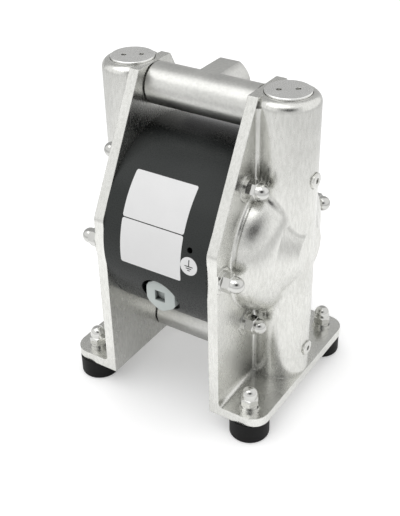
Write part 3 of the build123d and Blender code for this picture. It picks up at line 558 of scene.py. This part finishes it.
class Finisher:
    """Builds each finish once and puts it on pieces."""

    def __init__(self) -> None:
        """Starts with no material built."""
        self.built: dict[Surface, bpy.types.Material] = {}

    def dress(self, piece: bpy.types.Object, surface: Surface) -> None:
        """Gives a piece one finish all over and reports it.

        Args:
            piece: a mesh object.
            surface: the finish, whose material is built at its first use.
        """
        if surface not in self.built:
            self.built[surface] = surface.value.build()
        piece.data.materials.clear()
        piece.data.materials.append(self.built[surface])
        LOG.info("%s: %s", piece.name, surface.value.label)

    def dress_nodes(self) -> None:
        """Gives every CAD node its finish."""
        for surface, names in NODE_FINISHES.items():
            for name in names:
                self.dress(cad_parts[name], surface)


# ---- Surfaces as grids of points -------------------------------------------------------------


def grid_piece(name: str, grids: list[np.ndarray]) -> bpy.types.Object:
    """Makes one mesh object from grids of points.

    Each grid is rows x columns x 3. Neighbouring points make quads; points that coincide, at poles
    and where a grid closes on itself, are merged, and all faces are turned outwards.

    Args:
        name: the piece's name.
        grids: one grid for each closed shell.

    Returns:
        The object, at the origin.
    """
    points = np.concatenate([grid.reshape(-1, 3) for grid in grids])
    faces = []
    start = 0
    for grid in grids:
        rows, columns = grid.shape[:2]
        index = start + np.arange(rows * columns).reshape(rows, columns)
        corners = (index[:-1, :-1], index[1:, :-1], index[1:, 1:], index[:-1, 1:])
        faces.append(np.stack([corner.ravel() for corner in corners], axis=1))
        start += rows * columns
    mesh = bpy.data.meshes.new(name)
    mesh.from_pydata(points.tolist(), [], np.concatenate(faces).tolist())
    shell = bmesh.new()
    shell.from_mesh(mesh)
    bmesh.ops.remove_doubles(shell, verts=shell.verts, dist=MERGE_DISTANCE)
    bmesh.ops.recalc_face_normals(shell, faces=shell.faces)
    shell.to_mesh(mesh)
    shell.free()
    piece = bpy.data.objects.new(name, mesh)
    bpy.context.scene.collection.objects.link(piece)
    return piece


def full_turn(steps: int) -> np.ndarray:
    """Returns the angles once round in even steps, the last on the first.

    Args:
        steps: how many.
    """
    return np.linspace(0.0, 2 * math.pi, steps + 1)


def rounded_outline(half: Span, radius: float, count: int, arc_points: int = 9) -> np.ndarray:
    """Outline of a rectangle with round corners.

    A circle of the corner's radius goes once round and jumps by the straight sides between its
    quarters. The outline is then cut into equal lengths, so that long sides can bend.

    Args:
        half: half its width and half its height.
        radius: of the corners.
        count: points round it.
        arc_points: points on a corner before the outline is cut.

    Returns:
        Points as count + 1 rows of two, the last on the first.
    """
    quarter = np.linspace(0.0, math.pi / 2, arc_points)
    angle = np.concatenate([quarter + turn * math.pi / 2 for turn in range(4)])
    sign_x = np.repeat([1.0, -1.0, -1.0, 1.0], arc_points)
    sign_y = np.repeat([1.0, 1.0, -1.0, -1.0], arc_points)
    x = sign_x * (half[0] - radius) + radius * np.cos(angle)
    y = sign_y * (half[1] - radius) + radius * np.sin(angle)
    corners = np.stack([np.append(x, x[0]), np.append(y, y[0])], axis=1)
    run = np.concatenate([[0.0], np.cumsum(np.linalg.norm(np.diff(corners, axis=0), axis=1))])
    place = np.linspace(0.0, run[-1], count + 1)
    return np.stack([np.interp(place, run, corners[:, axis]) for axis in (0, 1)], axis=1)


# ---- Labels and sign -------------------------------------------------------------------------


@dataclass(frozen=True)
class BlockSkin:
    """The round skin of the centre block, on which the labels lie.

    Attributes:
        radius: the block's radius.
        axis_z: height of its axis.
    """

    radius: float
    axis_z: float

    @classmethod
    def of_block(cls) -> "BlockSkin":
        """Reads the skin from the centre block's box."""
        low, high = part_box("centre_block")
        return cls((high[2] - low[2]) / 2, (high[2] + low[2]) / 2)

    def along(self, degrees: float) -> float:
        """Returns the distance round the skin of an angle above the inlet side.

        Args:
            degrees: the angle.
        """
        return self.radius * math.radians(degrees)

    def wrap(self, across: np.ndarray, along: np.ndarray, height: np.ndarray) -> np.ndarray:
        """Wraps flat coordinates round the block.

        A point's X is its distance across, and its angle above the inlet side is its distance along
        the skin divided by the radius. It lies at the radius plus its height from the block's axis.

        Args:
            across: distances along X.
            along: distances round the skin, upwards from the axis's level.
            height: distances above the skin.

        Returns:
            Points, one more dimension of 3.
        """
        angle = along / self.radius
        reach = self.radius + height
        level = self.axis_z + reach * np.sin(angle)
        return np.stack(np.broadcast_arrays(across, -reach * np.cos(angle), level), axis=-1)

    def sheet(self, outline: np.ndarray, middle: Span, levels: Span, rings: int) -> np.ndarray:
        """Works out a thin closed sheet bent round the block.

        On its top the outline, times a share that grows in steps from 0 to 1, is laid round its
        middle and wrapped. At share 1 the edge drops, and the underside runs back to share 0.

        Args:
            outline: points round the sheet, from its middle.
            middle: distances of its middle across and along the skin.
            levels: heights of its underside and of its top above the skin.
            rings: steps from the middle to the outline.

        Returns:
            The sheet's grid.
        """
        out = np.linspace(0.0, 1.0, rings + 1)
        share = np.concatenate([out, out[::-1]])[:, None]
        height = np.repeat(levels[::-1], rings + 1)[:, None]
        across = middle[0] + share * outline[:, 0]
        along = middle[1] + share * outline[:, 1]
        return self.wrap(across, along, height)


@dataclass
class SkinLabels:
    """The two bare labels and the earthing sign on the block's front.

    Attributes:
        skin: the block's skin.
        left: X of both labels' left edges.
        right: X of their right edges.
        upper: angles of the upper label's top and bottom edges.
        lower: angles of the lower label's top and bottom edges.
        corner: radius of the labels' corners.
        lift: height of a label's underside above the skin.
        thickness: of a label and of the sign.
        sign_x: X of the sign's middle.
        sign_angle: angle of the sign's middle.
        sign_radius: the round sign's radius.
        ink: how far the sign's print stands out, and how far it is sunk in.
        stroke: half the thickness of the print's lines, as a share of the sign's radius.
        stroke_corner: radius of those lines' corners, as a share of half their thickness.
        stem: middle and half length of the print's upright line, as shares of that radius.
        bars: half lengths of its level bars, as shares of that radius.
        bar_top: place of the uppermost bar, as a share of that radius.
        bar_gap: distance from bar to bar, as a share of that radius.
    """

    skin: BlockSkin
    left: float = -30 * MM
    right: float = 24 * MM
    upper: Span = (50.0, 22.9)
    lower: Span = (22.3, -4.5)
    corner: float = 1.6 * MM
    lift: float = 0.01 * MM
    thickness: float = 0.16 * MM
    sign_x: float = 31.3 * MM
    sign_angle: float = 6.7
    sign_radius: float = 7.2 * MM
    ink: float = 0.03 * MM
    stroke: float = 0.055
    stroke_corner: float = 0.6
    stem: Span = (0.36, 0.38)
    bars: tuple[float, ...] = (0.52, 0.34, 0.16)
    bar_top: float = -0.02
    bar_gap: float = 0.22

    @property
    def top(self) -> float:
        """Height of the labels' and the sign's outer face above the skin."""
        return self.lift + self.thickness

    def label(self, name: str, angles: Span) -> bpy.types.Object:
        """Makes one label: a rectangle with round corners, bent round the block.

        Args:
            name: the piece's name.
            angles: of its top and bottom edges.

        Returns:
            The label.
        """
        top, bottom = (self.skin.along(angle) for angle in angles)
        half = ((self.right - self.left) / 2, (top - bottom) / 2)
        outline = rounded_outline(half, self.corner, count=240)
        middle = ((self.left + self.right) / 2, (top + bottom) / 2)
        return grid_piece(name, [self.skin.sheet(outline, middle, (self.lift, self.top), rings=14)])

    def sign(self) -> bpy.types.Object:
        """Makes the earthing sign: a round sheet bent round the block.

        Returns:
            The sign.
        """
        turn = full_turn(48)
        outline = self.sign_radius * np.stack([np.cos(turn), np.sin(turn)], axis=1)
        middle = (self.sign_x, self.skin.along(self.sign_angle))
        sheet = self.skin.sheet(outline, middle, (self.lift, self.top), rings=6)
        return grid_piece("earth_sign", [sheet])

    def bar(self, middle: Span, half: Span) -> np.ndarray:
        """Works out one bar of the sign's print, with rounded ends.

        Args:
            middle: of the bar, from the sign's middle.
            half: half its width and height.

        Returns:
            The bar's grid.
        """
        outline = rounded_outline(half, self.stroke_corner * min(half), count=16)
        place = (self.sign_x + middle[0], self.skin.along(self.sign_angle) + middle[1])
        levels = (self.top - self.ink, self.top + self.ink)
        return self.skin.sheet(outline, place, levels, rings=2)

    def symbol(self) -> bpy.types.Object:
        """Makes the sign's print, the usual earth symbol: a stem over three shortening bars.

        Returns:
            The print.
        """
        radius = self.sign_radius
        line = self.stroke * radius
        grids = [self.bar((0.0, self.stem[0] * radius), (line, self.stem[1] * radius))]
        for step, share in enumerate(self.bars):
            height = (self.bar_top - self.bar_gap * step) * radius
            grids.append(self.bar((0.0, height), (share * radius, line)))
        return grid_piece("earth_symbol", grids)

    def build(self, finisher: Finisher) -> None:
        """Makes the labels and the sign, dresses them and fixes them to the pump's body.

        Args:
            finisher: puts the finishes on.
        """
        pieces = {
            self.label("upper_label", self.upper): Surface.LABEL_VINYL,
            self.label("lower_label", self.lower): Surface.LABEL_VINYL,
            self.sign(): Surface.LABEL_VINYL,
            self.symbol(): Surface.SIGN_INK,
        }
        for piece, surface in pieces.items():
            finisher.dress(piece, surface)
            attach(piece, "pump_body")


# ---- Port threads ----------------------------------------------------------------------------


@dataclass
class PortThread:
    """The pipe thread inside a manifold's port boss.

    Attributes:
        node: the manifold that carries it.
        body: the body it moves with.
        radius: of the bore.
        crest: how far the ridge stands in from the bore.
        root: how far its foot is sunk into the wall.
        pitch: distance between turns.
        foot_half: half the ridge's width at its foot, as a share of the pitch.
        crest_half: half its width at the crest, as a share of the pitch.
        mouth: distance of the first turn from the boss's end.
        depth: of the threaded length.
        run_out: turns over which the ridge grows at one end and shrinks at the other.
        steps: of the helix in each turn.
    """

    node: str
    body: str
    radius: float = 12.06 * MM
    crest: float = 0.45 * MM
    root: float = 0.15 * MM
    pitch: float = 1.814 * MM
    foot_half: float = 0.46
    crest_half: float = 0.12
    mouth: float = 1.6 * MM
    depth: float = 14.0 * MM
    run_out: float = 0.35
    steps: int = 40

    def ridge(self) -> np.ndarray:
        """Works out the ridge's grid.

        A four-cornered section, broad at the wall and narrow at its crest, is carried along a helix
        about the port's axis. It grows from a point at one end and shrinks to a point at the other.

        Returns:
            The grid, one row for each step along the helix.
        """
        low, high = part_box(self.node)
        axis_z = (low[2] + high[2]) / 2
        turns = self.depth / self.pitch
        way = np.linspace(0.0, 1.0, int(turns * self.steps) + 1)
        turn = 2 * math.pi * turns * way
        size = np.clip(np.minimum(way, 1 - way) * turns / self.run_out, 0.0, 1.0)[:, None]
        inward = np.array([-self.root, self.crest, self.crest, -self.root, -self.root])
        foot, crest = self.foot_half * self.pitch, self.crest_half * self.pitch
        sideways = np.array([-foot, -crest, crest, foot, -foot])
        reach = self.radius + self.root - size * (inward + self.root)
        y = high[1] - self.mouth - self.depth * way[:, None] + size * sideways
        x = reach * np.cos(turn)[:, None]
        z = axis_z + reach * np.sin(turn)[:, None]
        return np.stack([x, y, z], axis=-1)

    def build(self, finisher: Finisher) -> None:
        """Makes the thread, dresses it and lets it turn with its pipe.

        Args:
            finisher: puts the finish on.
        """
        piece = grid_piece(f"{self.node}_port_thread", [self.ridge()])
        finisher.dress(piece, Surface.CAST_MANIFOLD)
        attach(piece, self.body)


# ---- Diaphragms ------------------------------------------------------------------------------


@dataclass
class FlexingDiaphragm:
    """A diaphragm clamped at its rim, whose centre moves with the shaft in the pump; here it is
    made at rest.

    Attributes:
        node: its CAD node, whose place and reach it takes.
        bore: radius of its hole.
        foot: radius of the flat centre that the plates clamp.
        hold: radius from which the castings clamp it.
        rise: height of the convolution between them.
        thickness: of the sheet.
        steps: of the section along its centre, its convolution and its rim.
        turn_steps: round the axis.
    """

    node: str
    bore: float = 6.1 * MM
    foot: float = 32.0 * MM
    hold: float = 51.0 * MM
    rise: float = 4.0 * MM
    thickness: float = 3.0 * MM
    steps: tuple[int, int, int] = (5, 24, 3)
    turn_steps: int = 96

    def shell(self) -> np.ndarray:
        """Works out the diaphragm's grid.

        The section is a sheet of even thickness along X, flat but for an arc that rises from the
        foot radius to its crest and falls to the hold radius. It is turned round the shaft's axis.

        Returns:
            The grid, one row for each step round the axis.
        """
        low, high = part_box(self.node)
        side = math.copysign(1.0, low[0] + high[0])
        face = min(abs(low[0]), abs(high[0]))
        axis_z = (low[2] + high[2]) / 2
        rim = (high[2] - low[2]) / 2
        half = (self.hold - self.foot) / 2
        radius = (half**2 + self.rise**2) / (2 * self.rise)
        stops = (self.bore, self.foot, self.hold, rim)
        parts = zip(stops, stops[1:], self.steps)
        runs = [np.linspace(start, end, steps, endpoint=False) for start, end, steps in parts]
        reach = np.concatenate([*runs, [rim]])
        off_crest = np.clip(reach - (self.foot + self.hold) / 2, -half, half)
        lift = np.sqrt(radius**2 - off_crest**2) - (radius - self.rise)
        across = face + np.concatenate([lift + self.thickness, lift[::-1]])
        reach = np.concatenate([reach, reach[::-1]])
        across, reach = (np.append(line, line[0]) for line in (across, reach))
        turn = full_turn(self.turn_steps)[:, None]
        x = np.broadcast_to(side * across, (len(turn), len(across)))
        return np.stack([x, reach * np.cos(turn), axis_z + reach * np.sin(turn)], axis=-1)

    def flex(self, piece: bpy.types.Object) -> None:
        """Bakes the diaphragm's place into its mesh and reads its points.

        Args:
            piece: the diaphragm.
        """
        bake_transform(piece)
        points = np.empty(len(piece.data.vertices) * 3, dtype=np.float32)
        piece.data.vertices.foreach_get("co", points)

    def build(self, finisher: Finisher) -> None:
        """Makes the diaphragm in place of its CAD node, hides that node and dresses it.

        Args:
            finisher: puts the finish on.
        """
        piece = grid_piece(f"flexing_{self.node}", [self.shell()])
        finisher.dress(piece, Surface.PTFE)
        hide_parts(self.node)
        self.flex(piece)


# ---- Studio ----------------------------------------------------------------------------------


@dataclass
class SoftBox:
    """A large soft lamp.

    Attributes:
        label: its name.
        place: where it hangs.
        aim: the point it faces.
        side: its length and width.
        level: brightness of its face, where 1 is white.
    """

    label: str
    place: Place
    aim: Place
    side: Span
    level: float

    def build(self) -> None:
        """Hangs the lamp."""
        lamp = bpy.data.lights.new(self.label, "AREA")
        lamp.shape = "RECTANGLE"
        lamp.size, lamp.size_y = self.side
        lamp.energy = self.level * math.pi * self.side[0] * self.side[1]
        holder = bpy.data.objects.new(self.label, lamp)
        direction = Vector(self.aim) - Vector(self.place)
        turn = direction.to_track_quat("-Z", "Y").to_matrix().to_4x4()
        holder.matrix_world = Matrix.Translation(self.place) @ turn
        bpy.context.scene.collection.objects.link(holder)


@dataclass
class StudioWall:
    """A curved screen round the pump that only its reflections show.

    Attributes:
        label: its name.
        radius: distance from the pump.
        turn: where it starts and ends round the pump, degrees from +X towards +Y.
        height: of its lower and upper edge.
        level: brightness of its middle, where 1 is white.
        edge_level: brightness of its edges, which it fades into.
        spread: how much the way along it counts in that fade beside the way up.
        core: part of the way from its middle to its edges that keeps the middle's brightness.
        steps: of its mesh along and up.
    """

    label: str
    radius: float
    turn: Span
    height: Span
    level: float
    edge_level: float
    spread: float = 1.0
    core: float = 0.2
    steps: tuple[int, int] = (48, 8)

    def build(self) -> None:
        """Makes the screen: an arc of a circle carried straight up."""
        angle = np.radians(np.linspace(*self.turn, self.steps[0] + 1))
        height = np.linspace(*self.height, self.steps[1] + 1)
        x, z = np.meshgrid(self.radius * np.cos(angle), height)
        y = np.broadcast_to(self.radius * np.sin(angle), x.shape)
        screen = grid_piece(self.label, [np.stack([x, y, z], axis=-1)])
        screen.data.materials.append(self.material())
        screen.visible_camera = False
        screen.visible_transmission = False
        screen.visible_shadow = False
        screen.visible_diffuse = False

    def material(self) -> bpy.types.Material:
        """Makes a glowing surface whose brightness fades towards the edges.

        Returns:
            The material.
        """
        material, graph = new_material(self.label)
        turn = math.radians(sum(self.turn) / 2)
        height = sum(self.height) / 2
        centre = (self.radius * math.cos(turn), self.radius * math.sin(turn), height)
        reach = (self.height[1] - self.height[0]) / 2
        level = graph.fade(
            centre, (reach * self.core, reach), (self.level, self.edge_level),
            weight=(self.spread, self.spread, 1.0),
        )
        glow = graph.add("ShaderNodeEmission", Color=WHITE, Strength=level)
        graph.add("ShaderNodeOutputMaterial", Surface=glow.outputs[0])
        return material


@dataclass
class Studio:
    """Pale floor, soft light from all round and the camera.

    Attributes:
        floor_radius: of the round floor.
        floor_steps: of its mesh round it and from its middle to its rim.
        floor_colour: the darker of its two close colours.
        floor_tint: how much lighter the other is.
        floor_cloud: repeats of the pattern between them for each metre.
        floor_glow: light it adds for camera and clear rays, so that the lit floor is white.
        mirror_glow: light it adds for glossy rays near the pump, to the same end.
        pool: distances from the pump over which that light fades.
        shadow_reach: distance within which the pump takes both lights away.
        shadow_share: part of the first that it takes away at the most; the second goes wholly.
        room_level: brightness of the room as light on the pump.
        eye: the camera's place.
        yaw: its turn from +Y towards -X, degrees.
        pitch: its tilt, below level when negative.
        roll: its turn about its own line of sight.
        lens: focal length over the frame's height.
        boxes: the lamps.
        walls: the screens.
    """

    floor_radius: float = 6.0
    floor_steps: tuple[int, int] = (64, 4)
    floor_colour: float = 0.80
    floor_tint: float = 0.01
    floor_cloud: float = 3.0
    floor_glow: float = 0.50
    mirror_glow: float = 0.44
    pool: Span = (0.25, 0.70)
    shadow_reach: float = 0.12
    shadow_share: float = 0.55
    room_level: float = 0.78
    eye: Place = (0.34240, -0.53074, 0.51548)
    yaw: float = 33.575
    pitch: float = -33.105
    roll: float = -1.348
    lens: float = 921.65 / FRAME_HEIGHT_PIXELS
    boxes: list[SoftBox] = field(
        default_factory=lambda: [
            SoftBox(
                "overhead_soft_box", place=(-0.35, -0.75, 1.65), aim=(0.0, 0.0, 0.12),
                side=(1.8, 1.5), level=0.80,
            ),
        ]
    )
    walls: list[StudioWall] = field(
        default_factory=lambda: [
            StudioWall(
                "grey_wall", radius=2.4, turn=(78.0, 186.0), height=(0.25, 5.4),
                level=0.50, edge_level=0.50,
            ),
            StudioWall(
                "dark_screen", radius=0.66, turn=(-98.0, -10.0), height=(0.22, 0.96),
                level=0.0, edge_level=0.75, spread=0.8,
            ),
        ]
    )

    def floor(self) -> None:
        """Lays the round floor: rings of points from the middle to the rim."""
        turn = full_turn(self.floor_steps[0])
        reach = np.linspace(0.0, self.floor_radius, self.floor_steps[1] + 1)[:, None]
        x = reach * np.cos(turn)
        y = reach * np.sin(turn)
        floor = grid_piece("studio_floor", [np.stack([x, y, np.zeros_like(x)], axis=-1)])
        if floor.data.polygons[0].normal.z < 0:
            floor.data.flip_normals()
        floor.data.materials.append(self.floor_material())

    def floor_material(self) -> bpy.types.Material:
        """Makes the floor's white, which keeps the shadow that falls on it.

        Returns:
            The material.
        """
        material, graph = new_material("studio white")
        dark, light = self.floor_colour, self.floor_colour + self.floor_tint
        tint = graph.blend(graph.noise(self.floor_cloud), (dark,) * 3, (light,) * 3)
        paper = graph.add("ShaderNodeBsdfDiffuse", Color=tint)
        open_share = graph.sky(self.shadow_reach)
        glossy = graph.add("ShaderNodeLightPath").outputs["Is Glossy Ray"]
        pool = graph.fade((0.0, 0.0, 0.0), self.pool, (self.mirror_glow, 0.0))
        mirrored = graph.product(graph.product(glossy, pool), open_share)
        shown = graph.product(graph.seen("Is Camera Ray"), self.floor_glow)
        kept = graph.total(graph.product(open_share, self.shadow_share), 1.0 - self.shadow_share)
        strength = graph.total(graph.product(shown, kept), mirrored)
        glow = graph.add("ShaderNodeEmission", Color=WHITE, Strength=strength)
        both = graph.add("ShaderNodeAddShader")
        graph.feed(both.inputs[0], paper.outputs[0])
        graph.feed(both.inputs[1], glow.outputs[0])
        graph.add("ShaderNodeOutputMaterial", Surface=both.outputs[0])
        return material

    def world(self) -> None:
        """Surrounds the pump with an even room that shows as white."""
        world = bpy.data.worlds.new("studio")
        bpy.context.scene.world = world
        world.use_nodes = True
        graph = Graph(world.node_tree)
        room = graph.add("ShaderNodeBackground", Color=WHITE, Strength=self.room_level)
        white = graph.add("ShaderNodeBackground", Color=WHITE, Strength=1.0)
        mix = graph.add("ShaderNodeMixShader", Fac=graph.seen("Is Camera Ray", "Is Glossy Ray"))
        graph.feed(mix.inputs[1], room.outputs[0])
        graph.feed(mix.inputs[2], white.outputs[0])
        graph.add("ShaderNodeOutputWorld", Surface=mix.outputs[0])

    def camera(self) -> None:
        """Sets up the camera from its place, yaw, pitch and roll."""
        yaw, pitch, roll = (math.radians(angle) for angle in (self.yaw, self.pitch, self.roll))
        level = math.cos(pitch)
        ahead = Vector((-math.sin(yaw) * level, math.cos(yaw) * level, math.sin(pitch)))
        right = ahead.cross(Vector((0.0, 0.0, 1.0))).normalized()
        up = right.cross(ahead)
        rolled_right = right * math.cos(roll) + up * math.sin(roll)
        rolled_up = up * math.cos(roll) - right * math.sin(roll)
        turn = Matrix((rolled_right, rolled_up, -ahead)).transposed().to_4x4()
        lens = bpy.data.cameras.new("studio camera")
        lens.sensor_fit = "VERTICAL"
        lens.sensor_height = SENSOR_HEIGHT_MM
        lens.lens = SENSOR_HEIGHT_MM * self.lens
        holder = bpy.data.objects.new("studio camera", lens)
        holder.matrix_world = Matrix.Translation(self.eye) @ turn
        bpy.context.scene.collection.objects.link(holder)
        bpy.context.scene.camera = holder

    def build(self) -> None:
        """Sets up floor, light and camera."""
        self.floor()
        self.world()
        for part in (*self.boxes, *self.walls):
            part.build()
        self.camera()
        bpy.context.scene.view_settings.view_transform = "Standard"
        LOG.info("studio: floor, %d lamps, %d walls and camera", len(self.boxes), len(self.walls))


# ---- The whole pump --------------------------------------------------------------------------


def main() -> None:
    """Dresses the CAD nodes, adds labels, threads and diaphragms, and sets up the studio."""
    logging.basicConfig(level=logging.INFO, format="%(name)s: %(message)s")
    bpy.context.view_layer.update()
    finisher = Finisher()
    finisher.dress_nodes()
    SkinLabels(BlockSkin.of_block()).build(finisher)
    for pipe in ("discharge", "suction"):
        PortThread(f"{pipe}_manifold", f"{pipe}_pipe").build(finisher)
    for side in ("left", "right"):
        FlexingDiaphragm(f"diaphragm_{side}").build(finisher)
    Studio().build()


if __name__ == "__main__":
    main()
